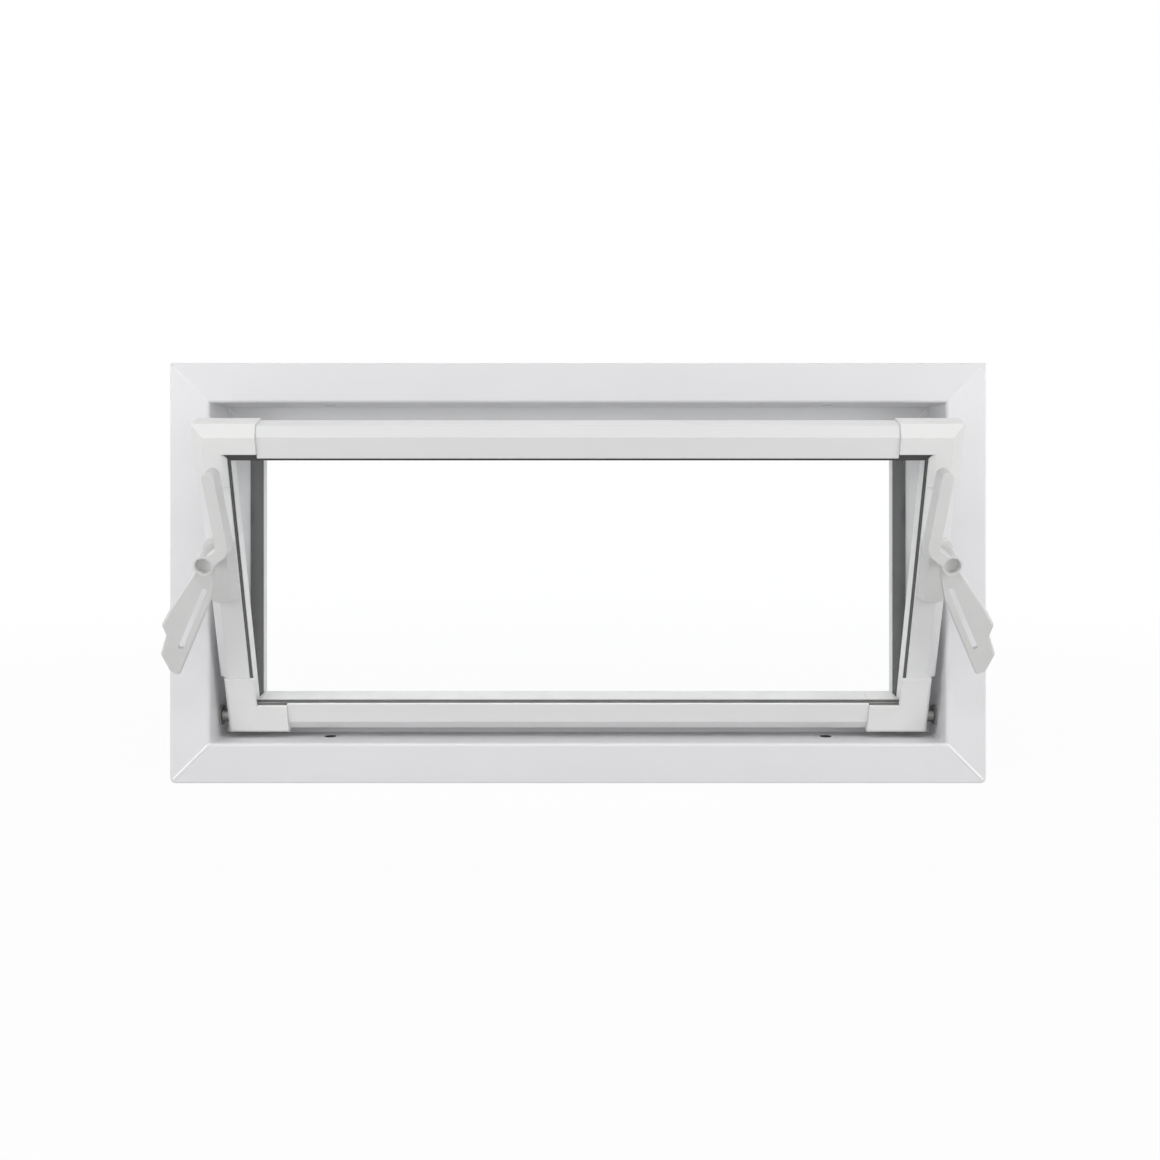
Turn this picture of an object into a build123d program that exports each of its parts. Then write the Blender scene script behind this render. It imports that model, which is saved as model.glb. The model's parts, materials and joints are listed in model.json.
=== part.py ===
"""Tilt window for a cellar or outbuilding: a welded plastic frame and a glazed sash hinged at its foot.

X runs along the window, Y from the room towards the wall's outer side, Z up.
The origin is the middle of the frame's underside. The sash stands tilted into the room.
"""

from build123d import *
import math
import os

# Frame, a welded ring of four mitred L sections (millimetres)
WIDTH = 800.0
HEIGHT = 412.0
FRAME_FACE = 39.0
FRAME_DEPTH = 70.0
STOP_THICK = 12.0
STOP_REACH = 38.0
REBATE_ROUND = 3.0
FRAME_ROUND = 1.5
FRAME_CORNER = 6.0

# Fixing holes through the sill and the head
FIXING_HOLE = 12.0
FIXING_SPACING = 500.0
FIXING_SETBACK = 35.0

# Seal strip on the frame's stop
SEAL_WIDTH = 13.0
SEAL_BASE = 2.0
SEAL_CROWN = 6.0
SEAL_INSET = 0.5
SEAL_GAP = 0.7

# Sash section, measured across from its outer edge and back from its face
SASH_FACE = 30.0
SASH_DEPTH = 29.0
FLANK_WIDTH = 10.0
FLANK_DEPTH = 6.0
REAR_BEVEL = 4.0
GLAZING_FRONT = 2.5
GLAZING_SLOT = 8.0
GLAZING_REACH = 12.0

# Clearances of the closed sash in the frame
SIDE_GAP = 5.0
TOP_GAP = 5.5
FOOT_GAP = 9.5

# Corner connectors that the rails and stiles butt against
CONNECTOR_LEG = 60.0
CONNECTOR_PROUD = 2.0
CONNECTOR_GROW = 2.0
HEAD_FLANK = 12.0
HEAD_SHORT = 4.0
HEAD_BEVEL = 6.0
FOOT_INSET = 4.5
FOOT_DROP = 2.0
FOOT_BEVEL = 3.0

# Glass and its gasket
GASKET_LEG = 2.0
GASKET_WEB = 1.5
GASKET_HEAD_LIP = 2.5
GASKET_SIDE_LIP = 1.0
GASKET_FOOT_LIP = 0.3
GLASS_EDGE_GAP = 0.3

# Tilt hinge at the foot of the sash
TILT = 19.0
PIVOT_UP = 12.0
PIVOT_PIN = 8.0
PIVOT_FIT = 0.05
PIVOT_HOLD = 12.0
PIVOT_COLLAR = 13.0
PIVOT_PLAY = 0.4
BUSH_WALL = 3.0
BUSH_FLANGE = 3.0
BUSH_FLANGE_THICK = 2.0
BUSH_FLOOR = 2.0

# Levers, placed from the sash's foot and from its outer edge
LEVER_UP = 196.0
LEVER_INSET = 11.0
BASE_THICK = 6.0
BASE_ABOVE = 13.0
BASE_BELOW = 47.0
BASE_SAG = 5.0
BASE_ROUND = 8.0
BASE_INSET = 1.0
BASE_SLOPE = 7.0
BASE_EDGE = 2.0
LEVER_PIN = 8.0
LEVER_FIT = 0.05
LEVER_SEAT = 0.3
PIN_LENGTH = 17.0
BOSS = 18.5
BOSS_BORE = 15.5
BOSS_BORE_DEPTH = 7.0
LEVER_FRONT = 40.0
LEVER_STANDOFF = 31.0

# Lever blade, along its own line from the pivot and across it, outwards positive
BLADE_SWING = 26.0
BLADE_TWIST = 10.0
BLADE_THICK = 5.0
BLADE_BEVEL = 1.6
BLADE_SHOULDER = (54.0, 14.0)
BLADE_TOOTH = (74.0, 15.5)
BLADE_NOTCH = (83.0, 8.5)
BLADE_POINT = (104.0, 6.5)
BLADE_TIP = (119.5, -8.0)
BLADE_INNER = 17.0
BLADE_HEEL = 34.0
BLADE_ROUND = 3.0
SLOT_WIDTH = 4.8
SLOT_START = 23.0
SLOT_END = 92.0
SLOT_OFFSET = 8.0

# Lever grip, in from the pivot and up
GRIP_WIDTH = 12.0
GRIP_DEPTH = 16.0
GRIP_ROUND = 1.5
GRIP_IN = 19.0
GRIP_BEND_UP = 13.5
GRIP_TIP_IN = 13.0
GRIP_LENGTH = 84.0
GRIP_BEND = 8.5

# Derived places
ROOM_FACE = -FRAME_DEPTH / 2
STOP_FACE = FRAME_DEPTH / 2 - STOP_THICK
OPENING_HALF = WIDTH / 2 - FRAME_FACE
STOP_HALF = OPENING_HALF - STOP_REACH
SASH_HEIGHT = HEIGHT - 2 * FRAME_FACE - FOOT_GAP - TOP_GAP
SASH_HALF = OPENING_HALF - SIDE_GAP - CONNECTOR_GROW
SASH_REAR = STOP_FACE - SEAL_CROWN - SEAL_GAP
PIVOT_Y = SASH_REAR - SASH_DEPTH / 2
PIVOT_Z = FRAME_FACE + FOOT_GAP + PIVOT_UP
GASKET_BED = SASH_FACE - GLAZING_REACH
GLAZING_REAR = GLAZING_FRONT + GLAZING_SLOT
FRONT = SASH_DEPTH / 2
FOOT = FOOT_DROP - PIVOT_UP
HEAD = SASH_HEIGHT - PIVOT_UP - CONNECTOR_GROW
MID = (FOOT + HEAD) / 2
FOOT_HALF = SASH_HALF - FOOT_INSET
LEVER_X = SASH_HALF - LEVER_INSET
LEVER_Y = LEVER_UP - PIVOT_UP

# The sash's own plane: across, up along the sash, and out towards the room
LEAN = math.radians(TILT)
ALONG = Vector(0, -math.sin(LEAN), math.cos(LEAN))
OUT = Vector(0, -math.cos(LEAN), -math.sin(LEAN))
SASH = Plane(origin=(0, PIVOT_Y, PIVOT_Z), x_dir=(1, 0, 0), z_dir=OUT)
FRAME_MID = Plane.XY.offset(HEIGHT / 2)

# Mitre planes of the frame and of the sash, each normal pointing to the horizontal member
MITRE_RIGHT = Plane(origin=(WIDTH / 2, 0, 0), z_dir=(-1, 0, -1))
MITRE_LEFT = Plane(origin=(-WIDTH / 2, 0, 0), z_dir=(1, 0, -1))
MITRE_TOP = Plane(origin=(WIDTH / 2, 0, HEIGHT), z_dir=(-1, 0, 1))
ACROSS = Vector(1, 0, 0)
SASH_FOOT_RIGHT = Plane(origin=SASH.from_local_coords(Vector(SASH_HALF, FOOT, 0)), z_dir=-ACROSS - ALONG)
SASH_FOOT_LEFT = Plane(origin=SASH.from_local_coords(Vector(-SASH_HALF, FOOT, 0)), z_dir=ACROSS - ALONG)
CONNECTOR_FOOT = Plane(
    origin=SASH.from_local_coords(Vector(FOOT_HALF, FOOT - FOOT_DROP, 0)), z_dir=-ACROSS - ALONG
)
SASH_HEAD_RIGHT = Plane(origin=SASH.from_local_coords(Vector(SASH_HALF, HEAD, 0)), z_dir=ALONG - ACROSS)
SASH_HEAD_LEFT = Plane(origin=SASH.from_local_coords(Vector(-SASH_HALF, HEAD, 0)), z_dir=ALONG + ACROSS)


def rail_plane(across):
    """Section plane of a sash rail: x runs up the sash, y out to the room."""
    return Plane(origin=SASH.from_local_coords(Vector(across, 0, 0)), x_dir=ALONG, z_dir=ACROSS)


def stile_plane(up):
    """Section plane of a sash stile: x runs across the window, y out to the room."""
    return Plane(origin=SASH.from_local_coords(Vector(0, up, 0)), x_dir=ACROSS, z_dir=-ALONG)


def sash_outline(grow, proud, inner, flank, flank_depth, bevel=0):
    """Sash section from its outer edge inwards, as (inward, outward to the room) points."""
    edge = SASH_FACE + inner
    return [
        (-grow, FRONT - flank_depth),
        (flank - grow, FRONT + proud),
        *([(edge - bevel, FRONT + proud), (edge, FRONT + proud - bevel / 2)] if bevel else [(edge, FRONT + proud)]),
        (edge, FRONT - GLAZING_FRONT),
        (GASKET_BED, FRONT - GLAZING_FRONT),
        (GASKET_BED, FRONT - GLAZING_REAR),
        (SASH_FACE, FRONT - GLAZING_REAR),
        (SASH_FACE, -FRONT),
        (REAR_BEVEL - grow, -FRONT),
        (-grow, REAR_BEVEL - FRONT),
    ]


def gasket_outline(reach):
    """U section of the glazing gasket, with lips that show past the sash's inner edge."""
    lip = SASH_FACE + reach
    front = FRONT - GLAZING_FRONT
    rear = FRONT - GLAZING_REAR
    return [
        (GASKET_BED, front),
        (lip, front),
        (lip, front - GASKET_LEG),
        (GASKET_BED + GASKET_WEB, front - GASKET_LEG),
        (GASKET_BED + GASKET_WEB, rear + GASKET_LEG),
        (lip, rear + GASKET_LEG),
        (lip, rear),
        (GASKET_BED, rear),
    ]


RAIL = sash_outline(0, 0, 0, FLANK_WIDTH, FLANK_DEPTH)
HEAD_BASE = sash_outline(CONNECTOR_GROW, CONNECTOR_PROUD, -HEAD_SHORT, HEAD_FLANK, FLANK_DEPTH)
HEAD_SIDE = sash_outline(CONNECTOR_GROW, CONNECTOR_PROUD, 0, HEAD_FLANK, FLANK_DEPTH, HEAD_BEVEL)
FOOT_SIDE = sash_outline(-FOOT_INSET, CONNECTOR_PROUD, FOOT_INSET, FOOT_BEVEL, FOOT_BEVEL - CONNECTOR_PROUD)
FOOT_BASE = sash_outline(FOOT_DROP, CONNECTOR_PROUD, -FOOT_DROP, FOOT_BEVEL, FOOT_BEVEL - CONNECTOR_PROUD)
GASKET_HEAD = gasket_outline(GASKET_HEAD_LIP)
GASKET_SIDE = gasket_outline(GASKET_SIDE_LIP)
GASKET_FOOT = gasket_outline(GASKET_FOOT_LIP)


def upward(points, edge):
    """Place section points on a rail at the sash's foot."""
    return [(edge + across, out) for across, out in points]


def inward(points, edge):
    """Place section points on the right-hand stile."""
    return [(edge - across, out) for across, out in points]


# Frame members

with BuildPart() as corner_relief:
    with BuildSketch(Plane.XZ.offset(-FRAME_DEPTH / 2)):
        with Locations((WIDTH / 2 - FRAME_CORNER / 2, FRAME_CORNER / 2)):
            Rectangle(FRAME_CORNER, FRAME_CORNER)
        with Locations((WIDTH / 2 - FRAME_CORNER, FRAME_CORNER)):
            Circle(FRAME_CORNER, mode=Mode.SUBTRACT)
    extrude(amount=FRAME_DEPTH)

with BuildPart() as sill_blank:
    with BuildSketch(Plane.YZ.offset(-WIDTH / 2)) as sill_section:
        with BuildLine():
            Polyline(
                (ROOM_FACE, 0),
                (ROOM_FACE, FRAME_FACE),
                (STOP_FACE, FRAME_FACE),
                (STOP_FACE, FRAME_FACE + STOP_REACH),
                (FRAME_DEPTH / 2, FRAME_FACE + STOP_REACH),
                (FRAME_DEPTH / 2, 0),
                close=True,
            )
        make_face()
        fillet(sill_section.vertices().sort_by_distance((ROOM_FACE, FRAME_FACE))[0], REBATE_ROUND)
        fillet(sill_section.vertices().sort_by_distance((FRAME_DEPTH / 2, FRAME_FACE + STOP_REACH))[0], FRAME_ROUND)
        fillet(sill_section.vertices().sort_by_distance((ROOM_FACE, 0))[0], FRAME_ROUND)
    extrude(amount=WIDTH)
    split(bisect_by=MITRE_LEFT, keep=Keep.TOP)
    split(bisect_by=MITRE_RIGHT, keep=Keep.TOP)
    with BuildSketch(Plane.XY):
        with GridLocations(FIXING_SPACING, 0, 2, 1):
            with Locations((0, ROOM_FACE + FIXING_SETBACK)):
                Circle(FIXING_HOLE / 2)
    extrude(amount=FRAME_FACE, mode=Mode.SUBTRACT)

with BuildPart() as frame_bottom:
    add(sill_blank.part)
    add(corner_relief.part, mode=Mode.SUBTRACT)
    mirror(corner_relief.part, about=Plane.YZ, mode=Mode.SUBTRACT)

with BuildPart() as frame_top:
    mirror(sill_blank.part, about=FRAME_MID)

with BuildPart() as frame_right:
    with BuildSketch(Plane.XY) as jamb_section:
        with BuildLine():
            Polyline(
                (WIDTH / 2, ROOM_FACE),
                (OPENING_HALF, ROOM_FACE),
                (OPENING_HALF, STOP_FACE),
                (STOP_HALF, STOP_FACE),
                (STOP_HALF, FRAME_DEPTH / 2),
                (WIDTH / 2, FRAME_DEPTH / 2),
                close=True,
            )
        make_face()
        fillet(jamb_section.vertices().sort_by_distance((OPENING_HALF, ROOM_FACE))[0], REBATE_ROUND)
        fillet(jamb_section.vertices().sort_by_distance((STOP_HALF, FRAME_DEPTH / 2))[0], FRAME_ROUND)
        fillet(jamb_section.vertices().sort_by_distance((WIDTH / 2, ROOM_FACE))[0], FRAME_ROUND)
    extrude(amount=HEIGHT)
    split(bisect_by=MITRE_RIGHT, keep=Keep.BOTTOM)
    split(bisect_by=MITRE_TOP, keep=Keep.BOTTOM)
    with BuildSketch(Plane.YZ.offset(OPENING_HALF)):
        with Locations((PIVOT_Y, PIVOT_Z)):
            Circle(PIVOT_PIN / 2 + PIVOT_FIT + BUSH_WALL)
    extrude(amount=PIVOT_HOLD + BUSH_FLOOR, mode=Mode.SUBTRACT)
    add(corner_relief.part, mode=Mode.SUBTRACT)

with BuildPart() as frame_left:
    mirror(frame_right.part, about=Plane.YZ)

# Flanged bushes that carry the sash's pins in the jambs

with BuildPart() as pivot_bush_right:
    with BuildSketch(Plane.YZ.offset(OPENING_HALF - BUSH_FLANGE_THICK)):
        with Locations((PIVOT_Y, PIVOT_Z)):
            Circle(PIVOT_PIN / 2 + PIVOT_FIT + BUSH_WALL + BUSH_FLANGE)
    extrude(amount=BUSH_FLANGE_THICK)
    with BuildSketch(Plane.YZ.offset(OPENING_HALF)):
        with Locations((PIVOT_Y, PIVOT_Z)):
            Circle(PIVOT_PIN / 2 + PIVOT_FIT + BUSH_WALL)
    extrude(amount=PIVOT_HOLD + BUSH_FLOOR)
    with BuildSketch(Plane.YZ.offset(OPENING_HALF - BUSH_FLANGE_THICK)):
        with Locations((PIVOT_Y, PIVOT_Z)):
            Circle(PIVOT_PIN / 2 + PIVOT_FIT)
    extrude(amount=BUSH_FLANGE_THICK + PIVOT_HOLD, mode=Mode.SUBTRACT)

with BuildPart() as pivot_bush_left:
    mirror(pivot_bush_right.part, about=Plane.YZ)

# Crowned seal strips along the inner edge of the stop

SEAL_EDGE = FRAME_FACE + STOP_REACH - SEAL_INSET
SEAL_SIDE = STOP_HALF + SEAL_INSET

with BuildPart() as seal_bottom:
    with BuildSketch(Plane.YZ.offset(-WIDTH / 2)):
        with BuildLine():
            Polyline(
                (STOP_FACE - SEAL_BASE, SEAL_EDGE - SEAL_WIDTH),
                (STOP_FACE, SEAL_EDGE - SEAL_WIDTH),
                (STOP_FACE, SEAL_EDGE),
                (STOP_FACE - SEAL_BASE, SEAL_EDGE),
            )
            ThreePointArc(
                (STOP_FACE - SEAL_BASE, SEAL_EDGE),
                (STOP_FACE - SEAL_CROWN, SEAL_EDGE - SEAL_WIDTH / 2),
                (STOP_FACE - SEAL_BASE, SEAL_EDGE - SEAL_WIDTH),
            )
        make_face()
    extrude(amount=WIDTH)
    split(bisect_by=MITRE_LEFT, keep=Keep.TOP)
    split(bisect_by=MITRE_RIGHT, keep=Keep.TOP)

with BuildPart() as seal_top:
    mirror(seal_bottom.part, about=FRAME_MID)

with BuildPart() as seal_right:
    with BuildSketch(Plane.XY):
        with BuildLine():
            Polyline(
                (SEAL_SIDE + SEAL_WIDTH, STOP_FACE - SEAL_BASE),
                (SEAL_SIDE + SEAL_WIDTH, STOP_FACE),
                (SEAL_SIDE, STOP_FACE),
                (SEAL_SIDE, STOP_FACE - SEAL_BASE),
            )
            ThreePointArc(
                (SEAL_SIDE, STOP_FACE - SEAL_BASE),
                (SEAL_SIDE + SEAL_WIDTH / 2, STOP_FACE - SEAL_CROWN),
                (SEAL_SIDE + SEAL_WIDTH, STOP_FACE - SEAL_BASE),
            )
        make_face()
    extrude(amount=HEIGHT)
    split(bisect_by=MITRE_RIGHT, keep=Keep.BOTTOM)
    split(bisect_by=MITRE_TOP, keep=Keep.BOTTOM)

with BuildPart() as seal_left:
    mirror(seal_right.part, about=Plane.YZ)

# Sash rails and stiles, cut square between the corner connectors

FOOT_RAIL_HALF = FOOT_HALF - CONNECTOR_LEG
HEAD_RAIL_HALF = SASH_HALF + CONNECTOR_GROW - CONNECTOR_LEG
STILE_FOOT = FOOT - FOOT_DROP + CONNECTOR_LEG
STILE_HEAD = HEAD + CONNECTOR_GROW - CONNECTOR_LEG

with BuildPart() as sash_rail_bottom:
    with BuildSketch(rail_plane(-FOOT_RAIL_HALF)):
        with BuildLine():
            Polyline(*upward(RAIL, FOOT), close=True)
        make_face()
    extrude(amount=2 * FOOT_RAIL_HALF)

with BuildPart() as sash_rail_top:
    with BuildSketch(rail_plane(-HEAD_RAIL_HALF)):
        with BuildLine():
            Polyline(*inward(RAIL, HEAD), close=True)
        make_face()
    extrude(amount=2 * HEAD_RAIL_HALF)

with BuildPart() as sash_stile_right:
    with BuildSketch(stile_plane(STILE_HEAD)):
        with BuildLine():
            Polyline(*inward(RAIL, SASH_HALF), close=True)
        make_face()
    extrude(amount=STILE_HEAD - STILE_FOOT)

with BuildPart() as sash_stile_left:
    mirror(sash_stile_right.part, about=Plane.YZ)

# Corner connectors, each two mitred legs moulded in one

with BuildPart() as head_leg_across:
    with BuildSketch(rail_plane(HEAD_RAIL_HALF)):
        with BuildLine():
            Polyline(*inward(HEAD_BASE, HEAD), close=True)
        make_face()
    extrude(amount=CONNECTOR_LEG)
    split(bisect_by=SASH_HEAD_RIGHT, keep=Keep.TOP)

with BuildPart() as head_leg_down:
    with BuildSketch(stile_plane(HEAD + CONNECTOR_GROW)):
        with BuildLine():
            Polyline(*inward(HEAD_SIDE, SASH_HALF), close=True)
        make_face()
    extrude(amount=CONNECTOR_LEG)
    split(bisect_by=SASH_HEAD_RIGHT, keep=Keep.BOTTOM)

with BuildPart() as connector_top_right:
    add(head_leg_across.part)
    add(head_leg_down.part)

with BuildPart() as connector_top_left:
    mirror(connector_top_right.part, about=Plane.YZ)

with BuildPart() as foot_leg_across:
    with BuildSketch(rail_plane(FOOT_RAIL_HALF)):
        with BuildLine():
            Polyline(*upward(FOOT_BASE, FOOT), close=True)
        make_face()
    extrude(amount=CONNECTOR_LEG)
    split(bisect_by=CONNECTOR_FOOT, keep=Keep.TOP)

with BuildPart() as foot_leg_up:
    with BuildSketch(stile_plane(STILE_FOOT)):
        with BuildLine():
            Polyline(*inward(FOOT_SIDE, SASH_HALF), close=True)
        make_face()
    extrude(amount=CONNECTOR_LEG)
    split(bisect_by=CONNECTOR_FOOT, keep=Keep.BOTTOM)

with BuildPart() as connector_bottom_right:
    add(foot_leg_across.part)
    add(foot_leg_up.part)

with BuildPart() as connector_bottom_left:
    mirror(connector_bottom_right.part, about=Plane.YZ)

# Glass held in a U gasket

with BuildPart() as gasket_bottom:
    with BuildSketch(rail_plane(-SASH_HALF)):
        with BuildLine():
            Polyline(*upward(GASKET_FOOT, FOOT), close=True)
        make_face()
    extrude(amount=2 * SASH_HALF)
    split(bisect_by=SASH_FOOT_LEFT, keep=Keep.TOP)
    split(bisect_by=SASH_FOOT_RIGHT, keep=Keep.TOP)

with BuildPart() as gasket_top:
    with BuildSketch(rail_plane(-SASH_HALF)):
        with BuildLine():
            Polyline(*inward(GASKET_HEAD, HEAD), close=True)
        make_face()
    extrude(amount=2 * SASH_HALF)
    split(bisect_by=SASH_HEAD_LEFT, keep=Keep.TOP)
    split(bisect_by=SASH_HEAD_RIGHT, keep=Keep.TOP)

with BuildPart() as gasket_right:
    with BuildSketch(stile_plane(HEAD)):
        with BuildLine():
            Polyline(*inward(GASKET_SIDE, SASH_HALF), close=True)
        make_face()
    extrude(amount=HEAD - FOOT)
    split(bisect_by=SASH_FOOT_RIGHT, keep=Keep.BOTTOM)
    split(bisect_by=SASH_HEAD_RIGHT, keep=Keep.BOTTOM)

with BuildPart() as gasket_left:
    mirror(gasket_right.part, about=Plane.YZ)

GLASS_EDGE = GASKET_BED + GASKET_WEB + GLASS_EDGE_GAP
GLASS_BACK = Plane(
    origin=SASH.from_local_coords(Vector(0, MID, FRONT - GLAZING_REAR + GASKET_LEG)),
    x_dir=ACROSS,
    z_dir=OUT,
)

with BuildPart() as glass_pane:
    with BuildSketch(GLASS_BACK):
        Rectangle(2 * (SASH_HALF - GLASS_EDGE), HEAD - FOOT - 2 * GLASS_EDGE)
    extrude(amount=GLAZING_SLOT - 2 * GASKET_LEG)

# Pivot pins on the foot connectors, with a collar that keeps the sash centred

with BuildPart() as pivot_pin_right:
    with BuildSketch(rail_plane(FOOT_HALF)):
        Circle(PIVOT_COLLAR / 2)
    extrude(amount=OPENING_HALF - BUSH_FLANGE_THICK - PIVOT_PLAY - FOOT_HALF)
    with BuildSketch(rail_plane(FOOT_HALF)):
        Circle(PIVOT_PIN / 2)
    extrude(amount=OPENING_HALF + PIVOT_HOLD - PIVOT_PLAY - FOOT_HALF)

with BuildPart() as pivot_pin_left:
    mirror(pivot_pin_right.part, about=Plane.YZ)

# Lever bases: saddles on the stiles, each with the pin that its lever turns on

LEVER = Plane(
    origin=SASH.from_local_coords(Vector(LEVER_X, LEVER_Y, FRONT)), x_dir=ACROSS, z_dir=OUT
)
BASE_INNER = LEVER_INSET - SASH_FACE + BASE_INSET
BASE_OUTER = LEVER_INSET - BASE_INSET
BASE_OUTER_SEAT = FLANK_DEPTH * (FLANK_WIDTH - BASE_INSET) / FLANK_WIDTH

with BuildPart() as lever_base_right:
    with BuildSketch(stile_plane(LEVER_Y + BASE_ABOVE)):
        with BuildLine():
            Polyline(
                *inward(
                    [
                        (BASE_INSET, FRONT - BASE_OUTER_SEAT),
                        (FLANK_WIDTH, FRONT),
                        (SASH_FACE - BASE_INSET, FRONT),
                        (SASH_FACE - BASE_INSET, FRONT + BASE_EDGE),
                        (SASH_FACE - BASE_INSET - BASE_SLOPE, FRONT + BASE_THICK),
                        (BASE_INSET, FRONT + BASE_THICK),
                    ],
                    SASH_HALF,
                ),
                close=True,
            )
        make_face()
    extrude(amount=BASE_ABOVE + BASE_BELOW + BASE_SAG)
    with BuildSketch(LEVER.offset(-FLANK_DEPTH)) as base_outline:
        with BuildLine():
            Polyline(
                (BASE_OUTER, -BASE_BELOW),
                (BASE_OUTER, BASE_ABOVE),
                (BASE_INNER, BASE_ABOVE),
                (BASE_INNER, -BASE_BELOW),
            )
            ThreePointArc(
                (BASE_INNER, -BASE_BELOW),
                ((BASE_INNER + BASE_OUTER) / 2, -BASE_BELOW - BASE_SAG),
                (BASE_OUTER, -BASE_BELOW),
            )
        make_face()
        fillet(base_outline.vertices().sort_by(Axis.Y)[-2:], BASE_ROUND)
    extrude(amount=FLANK_DEPTH + BASE_THICK, mode=Mode.INTERSECT)
    with BuildSketch(LEVER.offset(BASE_THICK)):
        Circle(LEVER_PIN / 2)
    extrude(amount=PIN_LENGTH)

with BuildPart() as lever_base_left:
    mirror(lever_base_right.part, about=Plane.YZ)

# Levers: boss, slotted blade and grip moulded in one

SWING = math.radians(BLADE_SWING)
TWIST = math.radians(BLADE_TWIST)
BLADE_LINE = ACROSS * math.sin(SWING) - ALONG * math.cos(SWING)
BLADE_SIDE = ACROSS * math.cos(SWING) + ALONG * math.sin(SWING)
BLADE = Plane(
    origin=LEVER.offset(LEVER_STANDOFF).origin,
    x_dir=BLADE_LINE,
    z_dir=OUT * math.cos(TWIST) - BLADE_SIDE * math.sin(TWIST),
)

with BuildPart() as lever_right:
    with BuildSketch(BLADE) as blade_outline:
        with BuildLine():
            Polyline(
                (0, -BOSS / 2),
                (0, BOSS / 4),
                BLADE_SHOULDER,
                BLADE_TOOTH,
                BLADE_NOTCH,
                BLADE_POINT,
                BLADE_TIP,
                (BLADE_TIP[0], -BLADE_INNER),
                (BLADE_HEEL, -BLADE_INNER),
                close=True,
            )
        make_face()
        fillet(blade_outline.vertices().sort_by(Axis.X)[-3:], BLADE_ROUND)
        with Locations(((SLOT_START + SLOT_END) / 2, -SLOT_OFFSET)):
            SlotOverall(SLOT_END - SLOT_START, SLOT_WIDTH, mode=Mode.SUBTRACT)
    extrude(amount=BLADE_THICK)
    blade_face = lever_right.faces().sort_by(Axis(BLADE.origin, BLADE.z_dir))[-1]
    chamfer(blade_face.outer_wire().edges().sort_by(Axis(BLADE.origin, BLADE.y_dir))[-6:], BLADE_BEVEL)
    with BuildSketch(LEVER.offset(LEVER_FRONT - GRIP_DEPTH)):
        with BuildLine():
            FilletPolyline(
                (0, 0),
                (-GRIP_IN, GRIP_BEND_UP),
                (-GRIP_TIP_IN, GRIP_LENGTH),
                radius=GRIP_BEND,
            )
            offset(amount=GRIP_WIDTH / 2)
        make_face()
    extrude(amount=GRIP_DEPTH)
    fillet(lever_right.faces().sort_by(Axis((0, 0, 0), OUT))[-1].edges(), GRIP_ROUND)
    with BuildSketch(LEVER.offset(BASE_THICK + LEVER_SEAT)):
        Circle(BOSS / 2)
    extrude(amount=LEVER_FRONT - BASE_THICK - LEVER_SEAT)
    with BuildSketch(LEVER.offset(LEVER_FRONT)):
        Circle(BOSS_BORE / 2)
    extrude(amount=-BOSS_BORE_DEPTH, mode=Mode.SUBTRACT)
    with BuildSketch(LEVER.offset(BASE_THICK)):
        Circle(LEVER_PIN / 2 + LEVER_FIT)
    extrude(amount=PIN_LENGTH + LEVER_SEAT, mode=Mode.SUBTRACT)

with BuildPart() as lever_left:
    mirror(lever_right.part, about=Plane.YZ)

pieces = {
    "frame_bottom": frame_bottom,
    "frame_top": frame_top,
    "frame_left": frame_left,
    "frame_right": frame_right,
    "pivot_bush_left": pivot_bush_left,
    "pivot_bush_right": pivot_bush_right,
    "seal_bottom": seal_bottom,
    "seal_top": seal_top,
    "seal_left": seal_left,
    "seal_right": seal_right,
    "sash_rail_bottom": sash_rail_bottom,
    "sash_rail_top": sash_rail_top,
    "sash_stile_left": sash_stile_left,
    "sash_stile_right": sash_stile_right,
    "connector_top_left": connector_top_left,
    "connector_top_right": connector_top_right,
    "connector_bottom_left": connector_bottom_left,
    "connector_bottom_right": connector_bottom_right,
    "gasket_bottom": gasket_bottom,
    "gasket_top": gasket_top,
    "gasket_left": gasket_left,
    "gasket_right": gasket_right,
    "glass_pane": glass_pane,
    "pivot_pin_left": pivot_pin_left,
    "pivot_pin_right": pivot_pin_right,
    "lever_base_left": lever_base_left,
    "lever_base_right": lever_base_right,
    "lever_left": lever_left,
    "lever_right": lever_right,
}

os.makedirs("parts", exist_ok=True)
for name, piece in pieces.items():
    piece.part.label = name
    export_step(piece.part, f"parts/{name}.step")
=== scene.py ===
"""Studio scene of a white plastic tilt window: finishes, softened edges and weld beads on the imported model."""

import json
import math

import bmesh
import bpy
from mathutils import Matrix, Vector


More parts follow.
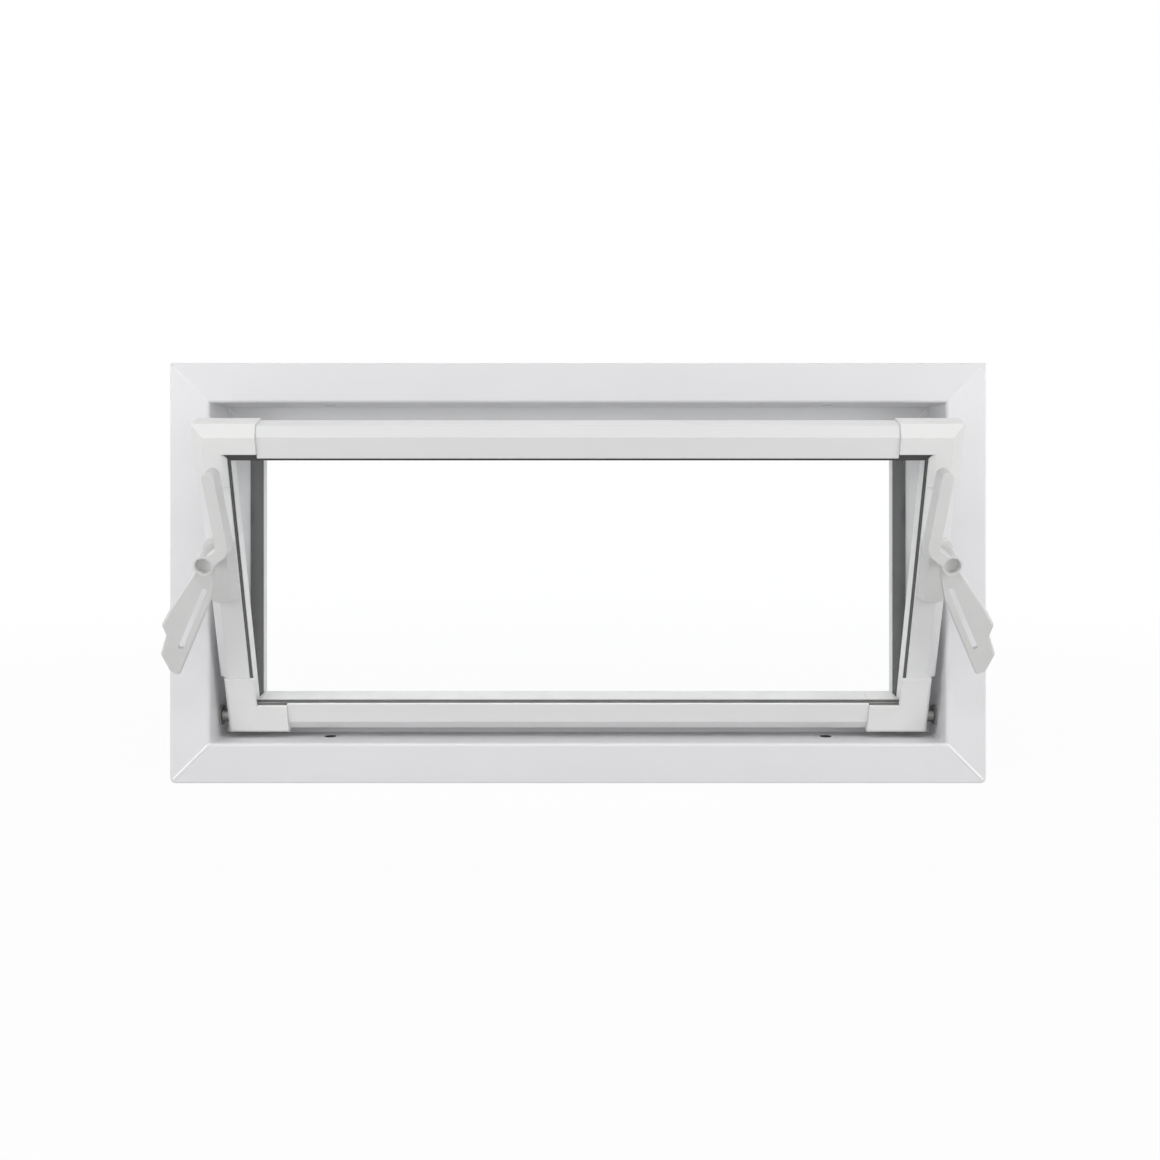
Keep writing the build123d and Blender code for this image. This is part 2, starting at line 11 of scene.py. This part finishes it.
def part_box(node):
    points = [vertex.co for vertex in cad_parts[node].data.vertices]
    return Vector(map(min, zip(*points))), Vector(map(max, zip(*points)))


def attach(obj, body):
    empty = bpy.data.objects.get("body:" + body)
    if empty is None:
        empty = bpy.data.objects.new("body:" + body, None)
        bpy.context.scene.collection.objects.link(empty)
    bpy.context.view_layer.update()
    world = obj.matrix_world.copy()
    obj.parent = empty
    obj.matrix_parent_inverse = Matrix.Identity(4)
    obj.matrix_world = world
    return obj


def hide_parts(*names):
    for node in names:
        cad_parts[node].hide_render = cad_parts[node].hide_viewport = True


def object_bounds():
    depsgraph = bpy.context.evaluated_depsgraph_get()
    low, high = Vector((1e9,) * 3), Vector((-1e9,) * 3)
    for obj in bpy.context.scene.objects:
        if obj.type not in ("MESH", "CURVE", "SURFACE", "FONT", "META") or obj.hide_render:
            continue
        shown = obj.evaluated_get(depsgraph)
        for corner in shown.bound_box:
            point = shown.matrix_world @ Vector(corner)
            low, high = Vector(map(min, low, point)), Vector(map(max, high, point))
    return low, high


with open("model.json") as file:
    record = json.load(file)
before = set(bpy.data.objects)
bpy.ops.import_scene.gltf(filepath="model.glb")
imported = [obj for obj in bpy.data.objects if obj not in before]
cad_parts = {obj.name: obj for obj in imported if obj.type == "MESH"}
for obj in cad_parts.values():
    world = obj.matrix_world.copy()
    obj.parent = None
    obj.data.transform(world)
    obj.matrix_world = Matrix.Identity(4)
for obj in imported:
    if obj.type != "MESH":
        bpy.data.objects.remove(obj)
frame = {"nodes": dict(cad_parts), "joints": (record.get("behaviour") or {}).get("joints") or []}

CAD_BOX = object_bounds()
MM = 0.001
JOINTS = {joint["name"]: joint for joint in frame["joints"]}
LEAN = math.radians(JOINTS["sash_tilt"]["range_deg"][1])

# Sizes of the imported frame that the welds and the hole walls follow.
FRAME_FACE = 39 * MM
STOP_THICK = 12 * MM
REBATE_ROUND = 3 * MM
WELD_END = 62 * MM
FIXING_X = 0.25
FIXING_REACH = 6.2 * MM

# Edge rounding in millimetres.
PROFILE_EDGE = 0.5
LEVER_EDGE = 0.6
CORNER_EDGE = 0.7
FOOT_GROOVE = 0.9
HEAD_GROOVE = 0.35

# Thickness of the weld beads, and the share of it that is sunk into the profile.
FOOT_BEAD = 1.9 * MM
HEAD_BEAD = 0.5 * MM
BEAD_SINK = 0.55
BEAD_SIDES = 10

DUST = (0.5, 0.48, 0.45)


# ---------------------------------------------------------------- shader groups

def shader_group(name, inputs, outputs):
    """An empty shader node group with named sockets, and its input and output nodes."""
    tree = bpy.data.node_groups.new(name, "ShaderNodeTree")
    for label, kind, value in inputs:
        socket = tree.interface.new_socket(label, in_out="INPUT", socket_type=kind)
        if value is not None:
            socket.default_value = value
    for label, kind in outputs:
        tree.interface.new_socket(label, in_out="OUTPUT", socket_type=kind)
    return tree, tree.nodes.new("NodeGroupInput"), tree.nodes.new("NodeGroupOutput")


def math_node(tree, operation, first, second=None, clamp=False):
    """A maths node fed by sockets or plain numbers; returns its result."""
    node = tree.nodes.new("ShaderNodeMath")
    node.operation = operation
    node.use_clamp = clamp
    for socket, value in zip(node.inputs, (first, second)):
        if isinstance(value, bpy.types.NodeSocket):
            tree.links.new(value, socket)
        elif value is not None:
            socket.default_value = value
    return node.outputs[0]


def spread(tree, value, low, high, to_low=0.0, to_high=1.0):
    """A value stretched from one range to another and kept inside it."""
    node = tree.nodes.new("ShaderNodeMapRange")
    tree.links.new(value, node.inputs["Value"])
    node.inputs["From Min"].default_value = low
    node.inputs["From Max"].default_value = high
    node.inputs["To Min"].default_value = to_low
    node.inputs["To Max"].default_value = to_high
    return node.outputs["Result"]


def noise(tree, vector, scale, detail=2.0, roughness=0.5):
    """A noise texture's grey value. The scale may be a socket or a number."""
    node = tree.nodes.new("ShaderNodeTexNoise")
    tree.links.new(vector, node.inputs["Vector"])
    if isinstance(scale, bpy.types.NodeSocket):
        tree.links.new(scale, node.inputs["Scale"])
    else:
        node.inputs["Scale"].default_value = scale
    node.inputs["Detail"].default_value = detail
    node.inputs["Roughness"].default_value = roughness
    return node.outputs["Fac"]


def make_die_lines():
    """Fine lines that the die leaves along an extruded profile. The profile runs along the vector's X."""
    tree, into, out = shader_group(
        "die_lines",
        [("Vector", "NodeSocketVector", None), ("Lines per metre", "NodeSocketFloat", 900.0)],
        [("Lines", "NodeSocketFloat"), ("Clouding", "NodeSocketFloat")],
    )
    stretch = tree.nodes.new("ShaderNodeVectorMath")
    stretch.operation = "MULTIPLY"
    stretch.inputs[1].default_value = (0.012, 1.0, 1.0)
    tree.links.new(into.outputs["Vector"], stretch.inputs[0])
    lines = noise(tree, stretch.outputs[0], into.outputs["Lines per metre"], 3.0, 0.65)
    clouding = noise(tree, into.outputs["Vector"], 7.0, 3.0)
    tree.links.new(spread(tree, lines, 0.3, 0.7), out.inputs["Lines"])
    tree.links.new(spread(tree, clouding, 0.35, 0.65), out.inputs["Clouding"])
    return tree


def make_edge_rub():
    """Where rounded edges have been rubbed and hold grime, broken up along their length."""
    tree, into, out = shader_group(
        "edge_rub",
        [("Vector", "NodeSocketVector", None), ("Scale", "NodeSocketFloat", 60.0)],
        [("Mask", "NodeSocketFloat")],
    )
    edge = tree.nodes.new("ShaderNodeAttribute")
    edge.attribute_name = "edge"
    broken = spread(tree, noise(tree, into.outputs["Vector"], into.outputs["Scale"], 4.0, 0.6), 0.35, 0.7)
    tree.links.new(math_node(tree, "MULTIPLY", edge.outputs["Fac"], broken, clamp=True), out.inputs["Mask"])
    return tree


def make_settled_dust():
    """Dust on the surfaces that face up, in soft patches."""
    tree, into, out = shader_group(
        "settled_dust",
        [("Vector", "NodeSocketVector", None), ("Scale", "NodeSocketFloat", 45.0)],
        [("Mask", "NodeSocketFloat")],
    )
    geometry = tree.nodes.new("ShaderNodeNewGeometry")
    parts = tree.nodes.new("ShaderNodeSeparateXYZ")
    tree.links.new(geometry.outputs["Normal"], parts.inputs[0])
    upward = spread(tree, parts.outputs["Z"], 0.45, 0.95)
    patches = spread(tree, noise(tree, into.outputs["Vector"], into.outputs["Scale"], 5.0, 0.6), 0.3, 0.75)
    tree.links.new(math_node(tree, "MULTIPLY", upward, patches, clamp=True), out.inputs["Mask"])
    return tree


def make_moulded_grain():
    """The faint orange peel of moulded plastic and rubber, with larger flow marks."""
    tree, into, out = shader_group(
        "moulded_grain",
        [("Vector", "NodeSocketVector", None), ("Grain", "NodeSocketFloat", 700.0)],
        [("Grain", "NodeSocketFloat"), ("Flow", "NodeSocketFloat")],
    )
    grain = noise(tree, into.outputs["Vector"], into.outputs["Grain"], 2.0, 0.55)
    flow = noise(tree, into.outputs["Vector"], 28.0, 3.0, 0.55)
    tree.links.new(grain, out.inputs["Grain"])
    tree.links.new(spread(tree, flow, 0.35, 0.65), out.inputs["Flow"])
    return tree


DIE_LINES = make_die_lines()
EDGE_RUB = make_edge_rub()
SETTLED_DUST = make_settled_dust()
MOULDED_GRAIN = make_moulded_grain()


# ---------------------------------------------------------------- finishes

def new_finish(name):
    """A material with its node tree, its main shader and the object coordinates."""
    material = bpy.data.materials.new(name)
    material.use_nodes = True
    tree = material.node_tree
    shader = tree.nodes["Principled BSDF"]
    place = tree.nodes.new("ShaderNodeTexCoord").outputs["Object"]
    return material, tree, shader, place


def turned(tree, vector, turn):
    """The coordinates turned so that their X runs along a profile."""
    node = tree.nodes.new("ShaderNodeMapping")
    node.inputs["Rotation"].default_value = turn
    tree.links.new(vector, node.inputs["Vector"])
    return node.outputs["Vector"]


def use_group(tree, group, vector, **values):
    """A shader group placed in a material with its own values."""
    node = tree.nodes.new("ShaderNodeGroup")
    node.node_tree = group
    tree.links.new(vector, node.inputs["Vector"])
    for label, value in values.items():
        node.inputs[label.replace("_", " ")].default_value = value
    return node


def blended(tree, mask, amount, colour, over):
    """A colour laid over another one by a share of a mask."""
    node = tree.nodes.new("ShaderNodeMix")
    node.data_type = "RGBA"
    tree.links.new(math_node(tree, "MULTIPLY", mask, amount), node.inputs["Factor"])
    if isinstance(over, bpy.types.NodeSocket):
        tree.links.new(over, node.inputs["A"])
    else:
        node.inputs["A"].default_value = (*over, 1)
    node.inputs["B"].default_value = (*colour, 1)
    return node.outputs["Result"]


def bumped(tree, shader, height, strength, distance):
    """Feeds a height to the shader's normal."""
    node = tree.nodes.new("ShaderNodeBump")
    node.inputs["Strength"].default_value = strength
    node.inputs["Distance"].default_value = distance
    tree.links.new(height, node.inputs["Height"])
    tree.links.new(node.outputs["Normal"], shader.inputs["Normal"])


def extruded_white(name, colour, turn):
    """White extruded plastic, glossy, with die lines along the profile, rubbed edges and a little dust."""
    material, tree, shader, place = new_finish(name)
    along = turned(tree, place, turn)
    lines = use_group(tree, DIE_LINES, along)
    rub = use_group(tree, EDGE_RUB, place)
    dust = use_group(tree, SETTLED_DUST, place)
    tone = blended(tree, lines.outputs["Clouding"], 0.5, [c * 0.965 for c in colour], colour)
    tone = blended(tree, lines.outputs["Lines"], 0.35, [c * 0.955 for c in colour], tone)
    tone = blended(tree, rub.outputs["Mask"], 0.35, (0.66, 0.65, 0.63), tone)
    tone = blended(tree, dust.outputs["Mask"], 0.14, DUST, tone)
    tree.links.new(tone, shader.inputs["Base Color"])
    rough = math_node(tree, "ADD", spread(tree, lines.outputs["Clouding"], 0, 1, 0.3, 0.38),
                      math_node(tree, "MULTIPLY", dust.outputs["Mask"], 0.2))
    tree.links.new(rough, shader.inputs["Roughness"])
    bumped(tree, shader, lines.outputs["Lines"], 0.12, 0.00012)
    return material


def moulded_white(name, colour, roughness=0.36):
    """Moulded plastic of the corners, levers and bushes, a touch warmer than the profiles."""
    material, tree, shader, place = new_finish(name)
    grain = use_group(tree, MOULDED_GRAIN, place)
    rub = use_group(tree, EDGE_RUB, place, Scale=90.0)
    dust = use_group(tree, SETTLED_DUST, place)
    tone = blended(tree, grain.outputs["Flow"], 0.5, [c * 0.95 for c in colour], colour)
    tone = blended(tree, rub.outputs["Mask"], 0.4, (0.62, 0.61, 0.58), tone)
    tone = blended(tree, dust.outputs["Mask"], 0.15, DUST, tone)
    tree.links.new(tone, shader.inputs["Base Color"])
    rough = spread(tree, grain.outputs["Flow"], 0, 1, roughness - 0.04, roughness + 0.06)
    tree.links.new(rough, shader.inputs["Roughness"])
    bumped(tree, shader, grain.outputs["Grain"], 0.15, 0.0002)
    return material


def rubber(name, colour, dusty, roughness):
    """Black or grey rubber with a matt grain and pale dust."""
    material, tree, shader, place = new_finish(name)
    grain = use_group(tree, MOULDED_GRAIN, place, Grain=1400.0)
    dust = use_group(tree, SETTLED_DUST, place, Scale=80.0)
    tone = blended(tree, grain.outputs["Flow"], 0.6, [c * 1.5 for c in colour], colour)
    tone = blended(tree, dust.outputs["Mask"], dusty, (0.3, 0.29, 0.27), tone)
    tree.links.new(tone, shader.inputs["Base Color"])
    rough = spread(tree, grain.outputs["Flow"], 0, 1, roughness - 0.06, roughness + 0.1)
    tree.links.new(rough, shader.inputs["Roughness"])
    shader.inputs["Specular IOR Level"].default_value = 0.35
    bumped(tree, shader, grain.outputs["Grain"], 0.25, 0.0002)
    return material


def plated_steel(name, colour):
    """Plated steel of the hinge pins, lightly stained."""
    material, tree, shader, place = new_finish(name)
    grain = use_group(tree, MOULDED_GRAIN, place, Grain=2200.0)
    tone = blended(tree, grain.outputs["Flow"], 0.5, [c * 0.7 for c in colour], colour)
    tree.links.new(tone, shader.inputs["Base Color"])
    tree.links.new(spread(tree, grain.outputs["Flow"], 0, 1, 0.24, 0.4), shader.inputs["Roughness"])
    shader.inputs["Metallic"].default_value = 1.0
    bumped(tree, shader, grain.outputs["Grain"], 0.1, 0.0001)
    return material


def clear_glass(name):
    """Clear float glass with faint smears; its shadow lets the light through."""
    material, tree, shader, place = new_finish(name)
    shader.inputs["Base Color"].default_value = (0.992, 0.998, 0.995, 1)
    shader.inputs["Transmission Weight"].default_value = 1.0
    shader.inputs["IOR"].default_value = 1.46
    smear = spread(tree, noise(tree, place, 9.0, 4.0, 0.6), 0.45, 0.8, 0.0, 0.035)
    tree.links.new(smear, shader.inputs["Roughness"])
    see_through = tree.nodes.new("ShaderNodeBsdfTransparent")
    see_through.inputs["Color"].default_value = (0.93, 0.95, 0.94, 1)
    light_path = tree.nodes.new("ShaderNodeLightPath")
    mix = tree.nodes.new("ShaderNodeMixShader")
    tree.links.new(light_path.outputs["Is Shadow Ray"], mix.inputs["Fac"])
    tree.links.new(shader.outputs["BSDF"], mix.inputs[1])
    tree.links.new(see_through.outputs["BSDF"], mix.inputs[2])
    tree.links.new(mix.outputs["Shader"], tree.nodes["Material Output"].inputs["Surface"])
    return material


ALONG_X = (0, 0, 0)
ALONG_Z = (0, math.pi / 2, 0)
ALONG_SASH = (-LEAN, math.pi / 2, 0)
# The upright members are the same white PVC as the cross members; their slightly lighter colours are painted
# light.
FRAME_ACROSS = extruded_white("frame_white_across", (0.79, 0.79, 0.805), ALONG_X)
FRAME_UPRIGHT = extruded_white("frame_white_upright", (0.81, 0.81, 0.825), ALONG_Z)
SASH_ACROSS = extruded_white("sash_white_across", (0.81, 0.81, 0.815), ALONG_X)
SASH_UPRIGHT = extruded_white("sash_white_upright", (0.83, 0.83, 0.835), ALONG_SASH)
CORNER_WHITE = moulded_white("corner_white", (0.83, 0.83, 0.825))
# The levers and their bases are the same white plastic as the corners; their greyer colour is painted shade.
LEVER_SHADED_WHITE = moulded_white("lever_white_painted_shade", (0.72, 0.72, 0.715), 0.4)
# The weld beads are the frame's own PVC; their brighter white is a painted highlight along the mitres.
WELD_HIGHLIGHT_WHITE = moulded_white("weld_white_painted_highlight", (0.93, 0.93, 0.93), 0.3)
# The bushes are dark grey, darkened so they sink into the shadowed gap at the sash's foot: partly their own
# colour, partly painted shade.
BUSH_PLASTIC = moulded_white("bush_plastic", (0.3, 0.3, 0.29), 0.5)
# Near-black painted shade for the walls of the sill's fixing holes.
BORE_SHADE = moulded_white("bore_shade", (0.06, 0.06, 0.06), 0.7)
SEAL_RUBBER = rubber("seal_rubber", (0.045, 0.045, 0.045), 0.1, 0.6)
# The head, side and foot gaskets are the same black rubber; the lighter greys of the side and foot copies are
# painted light.
GASKET_RUBBER = rubber("gasket_rubber", (0.05, 0.05, 0.05), 0.06, 0.5)
SIDE_GASKET_RUBBER = rubber("side_gasket_rubber", (0.1, 0.1, 0.1), 0.06, 0.5)
FOOT_GASKET_RUBBER = rubber("foot_gasket_rubber", (0.16, 0.16, 0.16), 0.5, 0.6)
# The pins are darkened so they sink into the same shadowed gap: partly the plated steel's own colour, partly
# painted shade.
PIN_STEEL = plated_steel("pin_steel", (0.3, 0.3, 0.29))
GLASS = clear_glass("clear_glass")


# ---------------------------------------------------------------- softened copies of the solids

def finished_mesh(piece, name):
    """The piece's mesh with its modifiers built in."""
    evaluated = piece.evaluated_get(bpy.context.evaluated_depsgraph_get())
    mesh = bpy.data.meshes.new_from_object(evaluated)
    mesh.name = name
    return mesh


def softened(node, body, material, radius, groove=None):
    """A copy of a solid with rounded edges. groove(face normal, edge middle) gives a weld edge its own width."""
    bm = bmesh.new()
    bm.from_mesh(frame["nodes"][node].data)
    bmesh.ops.remove_doubles(bm, verts=bm.verts, dist=2e-6)
    bmesh.ops.dissolve_limit(bm, angle_limit=math.radians(0.6), verts=bm.verts, edges=bm.edges)
    weight = bm.edges.layers.float.new("bevel_weight_edge")
    for edge in bm.edges:
        sharp = edge.is_manifold and edge.calc_face_angle() > math.radians(28)
        width = radius if sharp else 0.0
        if sharp and groove:
            middle = (edge.verts[0].co + edge.verts[1].co) / 2
            width = max([groove(face.normal, middle) or radius for face in edge.link_faces])
        edge[weight] = width
        edge.smooth = True
    for face in bm.faces:
        face.smooth = True
        face.material_index = 0
    mesh = bpy.data.meshes.new(node + "_soft")
    bm.to_mesh(mesh)
    bm.free()
    for attribute in ("custom_normal", "sharp_edge"):
        if attribute in mesh.attributes:
            mesh.attributes.remove(mesh.attributes[attribute])
    mesh.materials.append(material)
    mesh.materials.append(material)
    piece = bpy.data.objects.new(node + "_soft", mesh)
    bpy.context.scene.collection.objects.link(piece)
    bevel = piece.modifiers.new("edges", "BEVEL")
    bevel.limit_method = "WEIGHT"
    bevel.width = MM
    bevel.segments = 3
    bevel.material = 1
    bevel.miter_outer = "MITER_ARC"
    normals = piece.modifiers.new("normals", "WEIGHTED_NORMAL")
    normals.keep_sharp = True
    piece.data = finished_mesh(piece, node + "_soft")
    piece.modifiers.clear()
    marks = piece.data.attributes.new("edge", "FLOAT", "FACE")
    for polygon in piece.data.polygons:
        marks.data[polygon.index].value = 1.0 if polygon.material_index == 1 else 0.0
        polygon.material_index = 0
    piece.data.materials.pop()
    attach(piece, body)
    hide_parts(node)
    return piece


def weld_groove(normal, middle):
    """The frame's mitres: knifed weld seams, deeper at the foot than at the head."""
    if abs(abs(normal.x) - abs(normal.z)) < 0.01 and abs(normal.y) < 0.01 and abs(normal.x) > 0.5:
        return FOOT_GROOVE if middle.z < CAD_BOX[1][2] / 2 else HEAD_GROOVE
    return None


def shade_bores(piece):
    """Paints shade on the walls of the fixing holes: near-black stands in for the shadowed chambers that a real
    profile opens into.
    """
    piece.data.materials.append(BORE_SHADE)
    for polygon in piece.data.polygons:
        middle = polygon.center
        near = math.hypot(abs(middle.x) - FIXING_X, middle.y) < FIXING_REACH
        if near and abs(polygon.normal.z) < 0.3:
            polygon.material_index = 1


for node, material in (
    ("frame_bottom", FRAME_ACROSS),
    ("frame_top", FRAME_ACROSS),
    ("frame_left", FRAME_UPRIGHT),
    ("frame_right", FRAME_UPRIGHT),
):
    member = softened(node, "frame", material, PROFILE_EDGE, weld_groove)
    if node == "frame_bottom":
        shade_bores(member)

for node, material in (
    ("sash_rail_bottom", SASH_ACROSS),
    ("sash_rail_top", SASH_ACROSS),
    ("sash_stile_left", SASH_UPRIGHT),
    ("sash_stile_right", SASH_UPRIGHT),
):
    softened(node, "sash", material, PROFILE_EDGE)

for side in ("left", "right"):
    for level in ("top", "bottom"):
        softened(f"connector_{level}_{side}", "sash", CORNER_WHITE, CORNER_EDGE)
    softened(f"lever_base_{side}", "sash", LEVER_SHADED_WHITE, LEVER_EDGE)
    softened(f"lever_{side}", f"{side}_lever", LEVER_SHADED_WHITE, LEVER_EDGE)

for node, thing in frame["nodes"].items():
    for prefix, material in (
        ("seal_", SEAL_RUBBER),
        ("gasket_bottom", FOOT_GASKET_RUBBER),
        ("gasket_top", GASKET_RUBBER),
        ("gasket_", SIDE_GASKET_RUBBER),
        ("glass_pane", GLASS),
        ("pivot_pin", PIN_STEEL),
        ("pivot_bush", BUSH_PLASTIC),
        ("frame_", FRAME_ACROSS),
        ("sash_", SASH_ACROSS),
        ("connector_", CORNER_WHITE),
        ("lever_", LEVER_SHADED_WHITE),
    ):
        if node.startswith(prefix):
            thing.data.materials.clear()
            thing.data.materials.append(material)
            break


# ---------------------------------------------------------------- weld beads in the frame's corners

def bead_tree():
    """Geometry nodes that run a round bead along every line of a mesh, as thick as its points say."""
    tree = bpy.data.node_groups.new("weld_bead", "GeometryNodeTree")
    tree.interface.new_socket("Lines", in_out="INPUT", socket_type="NodeSocketGeometry")
    sides = tree.interface.new_socket("Sides", in_out="INPUT", socket_type="NodeSocketInt")
    finish = tree.interface.new_socket("Finish", in_out="INPUT", socket_type="NodeSocketMaterial")
    tree.interface.new_socket("Beads", in_out="OUTPUT", socket_type="NodeSocketGeometry")
    into = tree.nodes.new("NodeGroupInput")
    out = tree.nodes.new("NodeGroupOutput")
    lines = tree.nodes.new("GeometryNodeMeshToCurve")
    thick = tree.nodes.new("GeometryNodeInputNamedAttribute")
    thick.data_type = "FLOAT"
    thick.inputs["Name"].default_value = "thick"
    radius = tree.nodes.new("GeometryNodeSetCurveRadius")
    ring = tree.nodes.new("GeometryNodeCurvePrimitiveCircle")
    ring.inputs["Radius"].default_value = 1.0
    sweep = tree.nodes.new("GeometryNodeCurveToMesh")
    sweep.inputs["Fill Caps"].default_value = True
    smooth = tree.nodes.new("GeometryNodeSetShadeSmooth")
    real = tree.nodes.new("GeometryNodeRealizeInstances")
    paint = tree.nodes.new("GeometryNodeSetMaterial")
    link = tree.links.new
    link(into.outputs["Lines"], lines.inputs["Mesh"])
    link(lines.outputs["Curve"], radius.inputs["Curve"])
    link(thick.outputs["Attribute"], radius.inputs["Radius"])
    link(into.outputs["Sides"], ring.inputs["Resolution"])
    link(radius.outputs["Curve"], sweep.inputs["Curve"])
    link(ring.outputs["Curve"], sweep.inputs["Profile Curve"])
    if "Scale" in sweep.inputs:
        link(thick.outputs["Attribute"], sweep.inputs["Scale"])
    link(sweep.outputs["Mesh"], smooth.inputs["Geometry"])
    link(smooth.outputs["Geometry"], real.inputs["Geometry"])
    link(real.outputs["Geometry"], paint.inputs["Geometry"])
    link(into.outputs["Finish"], paint.inputs["Material"])
    link(paint.outputs["Geometry"], out.inputs["Beads"])
    return tree, sides.identifier, finish.identifier


def weld_beads():
    """The smoothed welds along the mitres: over the room face, round its inner edge and across the rebate."""
    low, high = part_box("frame_right")[0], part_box("frame_right")[1]
    half, top, room = high.x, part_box("frame_top")[1].z, low.y
    stop = high.y - STOP_THICK
    points, runs, thickness = [], [], []
    for level, size in ((0.0, FOOT_BEAD), (top, HEAD_BEAD)):
        sink = BEAD_SINK * size
        arc = REBATE_ROUND - sink
        section = [(inward * MM, room + sink) for inward in (3.5, 12, 24, 35.6)]
        section += [
            (FRAME_FACE - REBATE_ROUND + arc * math.sin(turn), room + REBATE_ROUND - arc * math.cos(turn))
            for turn in (math.radians(25), math.radians(45), math.radians(65))
        ]
        section += [
            (FRAME_FACE - sink, room + REBATE_ROUND + MM),
            (FRAME_FACE - sink, stop - 0.6 * size),
            (FRAME_FACE + 0.6 * size, stop + sink),
            (WELD_END, stop + sink),
        ]
        for side in (-1, 1):
            first = len(points)
            for inward, depth in section:
                points.append((side * (half - inward), depth, inward if level == 0 else top - inward))
                thickness.append(size)
            runs += [(i, i + 1) for i in range(first, len(points) - 1)]
    mesh = bpy.data.meshes.new("weld_lines")
    mesh.from_pydata(points, runs, [])
    mesh.attributes.new("thick", "FLOAT", "POINT").data.foreach_set("value", thickness)
    piece = bpy.data.objects.new("weld_beads", mesh)
    bpy.context.scene.collection.objects.link(piece)
    tree, sides, finish = bead_tree()
    sweep = piece.modifiers.new("beads", "NODES")
    sweep.node_group = tree
    sweep[sides] = BEAD_SIDES
    sweep[finish] = WELD_HIGHLIGHT_WHITE
    piece.data = finished_mesh(piece, "weld_beads")
    piece.modifiers.clear()
    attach(piece, "frame")


weld_beads()


# ---------------------------------------------------------------- studio

def seen_rays(tree):
    """1 for rays from the camera, through the glass and off a glossy surface, else 0."""
    path = tree.nodes.new("ShaderNodeLightPath")
    seen = path.outputs["Is Camera Ray"]
    for kind in ("Is Transmission Ray", "Is Glossy Ray"):
        seen = math_node(tree, "ADD", seen, path.outputs[kind], clamp=True)
    return seen


def studio_floor():
    """A pale floor that the camera sees as white, with a soft share of the object's shadow."""
    mesh = bpy.data.meshes.new("floor")
    reach = 6.0
    mesh.from_pydata(
        [(-reach, -reach, 0), (reach, -reach, 0), (reach, 4 * reach, 0), (-reach, 4 * reach, 0)],
        [],
        [(0, 1, 2, 3)],
    )
    mesh.transform(Matrix.Translation((0, 0, -0.0003)))
    floor = bpy.data.objects.new("floor", mesh)
    bpy.context.scene.collection.objects.link(floor)
    material, tree, shader, place = new_finish("pale_floor")
    shader.inputs["Base Color"].default_value = (0.6, 0.6, 0.6, 1)
    shader.inputs["Roughness"].default_value = 0.9
    shader.inputs["Specular IOR Level"].default_value = 0.1
    glow = tree.nodes.new("ShaderNodeEmission")
    seen = seen_rays(tree)
    mix = tree.nodes.new("ShaderNodeMixShader")
    away = tree.nodes.new("ShaderNodeVectorMath")
    away.operation = "LENGTH"
    tree.links.new(place, away.inputs[0])
    paleness = spread(tree, away.outputs["Value"], 0.5, 2.2, 0.965, 1.0)
    tree.links.new(math_node(tree, "MULTIPLY", seen, paleness), mix.inputs["Fac"])
    tree.links.new(shader.outputs["BSDF"], mix.inputs[1])
    tree.links.new(glow.outputs["Emission"], mix.inputs[2])
    tree.links.new(mix.outputs["Shader"], tree.nodes["Material Output"].inputs["Surface"])
    mesh.materials.append(material)


def soft_light(name, place, target, size, power):
    """A rectangular lamp turned towards a point."""
    lamp = bpy.data.lights.new(name, "AREA")
    lamp.shape = "RECTANGLE"
    lamp.size, lamp.size_y = size
    lamp.energy = power
    holder = bpy.data.objects.new(name, lamp)
    holder.location = place
    holder.rotation_euler = (Vector(target) - Vector(place)).to_track_quat("-Z", "Y").to_euler()
    bpy.context.scene.collection.objects.link(holder)


def white_surround(level):
    """White where it is seen directly, in reflections or through the glass; a plain pale light elsewhere."""
    world = bpy.data.worlds.new("surround")
    bpy.context.scene.world = world
    world.use_nodes = True
    tree = world.node_tree
    back = tree.nodes["Background"]
    back.inputs["Color"].default_value = (1, 1, 1, 1)
    seen = seen_rays(tree)
    strength = spread(tree, seen, 0, 1, level, 1.0)
    tree.links.new(strength, back.inputs["Strength"])


studio_floor()
white_surround(0.22)
for lamp_row in (
    ("left_box", (-1.25, -0.85, 0.5), (-0.3, 0, 0.25), (0.8, 0.8), 7.2),
    ("right_box", (1.25, -0.85, 0.5), (0.3, 0, 0.25), (0.8, 0.8), 7.2),
    ("top_box", (0, -1.3, 1.9), (0, 0, 0.2), (1.6, 0.5), 11.5),
    ("front_box", (0, -3.2, 0.5), (0, 0, 0.2), (2.6, 1.4), 12),
    ("rear_box", (0, 1.7, 2.7), (0, 0, 0.2), (2.0, 0.8), 16),
):
    soft_light(*lamp_row)

camera = bpy.data.cameras.new("camera")
camera.sensor_width = 36.0
camera.lens = 35.63
camera.shift_y = -0.069
camera.clip_start = 0.01
viewpoint = bpy.data.objects.new("camera", camera)
viewpoint.location = (0.002, -1.160, 0.2777)
viewpoint.rotation_euler = (math.pi / 2, 0, 0)
bpy.context.scene.collection.objects.link(viewpoint)
bpy.context.scene.camera = viewpoint
bpy.context.scene.view_settings.view_transform = "Standard"
